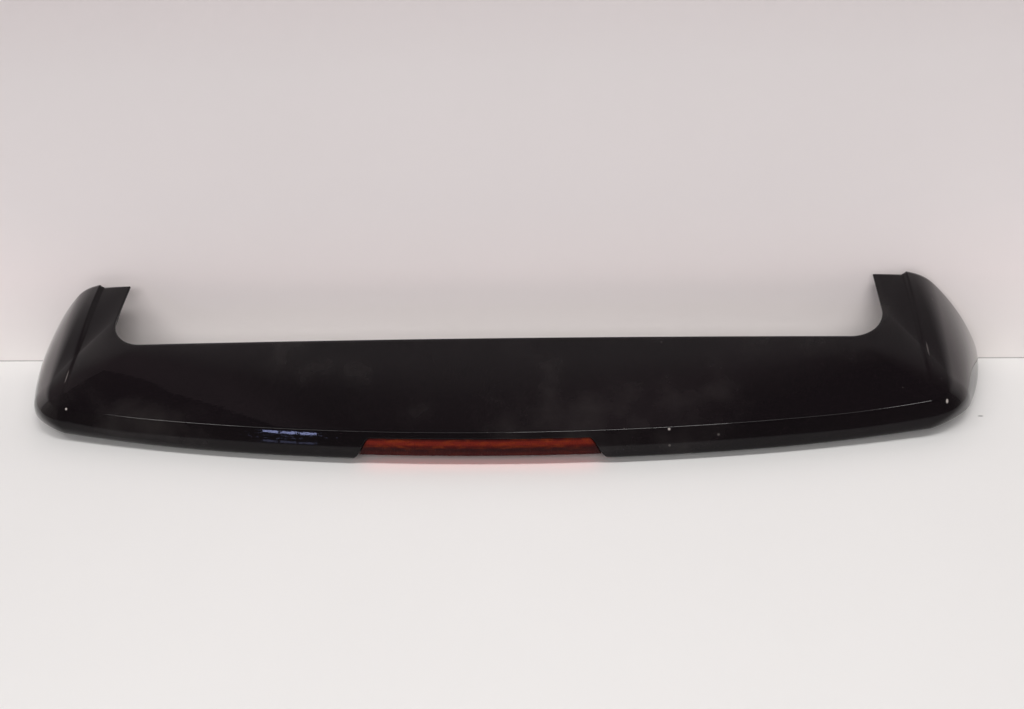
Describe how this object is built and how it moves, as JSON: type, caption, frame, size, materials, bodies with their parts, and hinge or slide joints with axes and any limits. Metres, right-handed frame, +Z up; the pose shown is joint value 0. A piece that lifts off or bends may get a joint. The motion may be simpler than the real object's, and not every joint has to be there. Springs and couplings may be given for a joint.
{
  "type": "car tailgate spoiler",
  "caption": "Gloss black roof spoiler for a tailgate: wide bowed plate with two raised wings, sharp rear crease, rounded flanks and a slim red stop lamp in the rear face.",
  "frame": {"origin": "middle of the outline on the ground, directly below the bounding box centre", "axes": "+X across the car to the right in the picture, +Y towards the front of the car and away from the camera, +Z up"},
  "size_m": [1.231, 0.2422, 0.1282],
  "materials": {
    "painted_shell": "gloss black paint with a faint purple brown flake under clear coat",
    "lower_shell": "grained black plastic",
    "adhesive": "matte",
    "foam": "matte",
    "red_lens": "polished red",
    "housing": "satin",
    "reflector": "bright coating on plastic",
    "board": "solder resist",
    "led": "clear",
    "black_part": "satin",
    "contact": "bright",
    "white_plastic": "satin",
    "zinc_steel": "zinc plated",
    "rubber": "matte"
  },
  "bodies": {
    "root": {"upper_shell": "painted_shell", "lower_shell": "lower_shell", "wing_cover_left": "lower_shell", "wing_cover_right": "lower_shell", "bond_bead_front": "adhesive", "bond_bead_left": "adhesive", "bond_bead_right": "adhesive", "bond_bead_rear": "adhesive", "edge_seal": "foam", "end_cap_left": "lower_shell", "end_cap_right": "lower_shell", "stop_lamp_lens": "red_lens", "stop_lamp_housing": "housing", "stop_lamp_reflector": "reflector", "stop_lamp_board": "board", "stop_lamp_leds": "led", "stop_lamp_resistors": "black_part", "stop_lamp_contacts": "contact", "stop_lamp_vent": "white_plastic", "stop_lamp_seal": "foam", "stop_lamp_screws": "zinc_steel", "mounting_studs": "zinc_steel", "stud_washers": "foam", "retaining_clips": "white_plastic", "buffer_left": "rubber", "buffer_right": "rubber"}
  },
  "joints": []
}
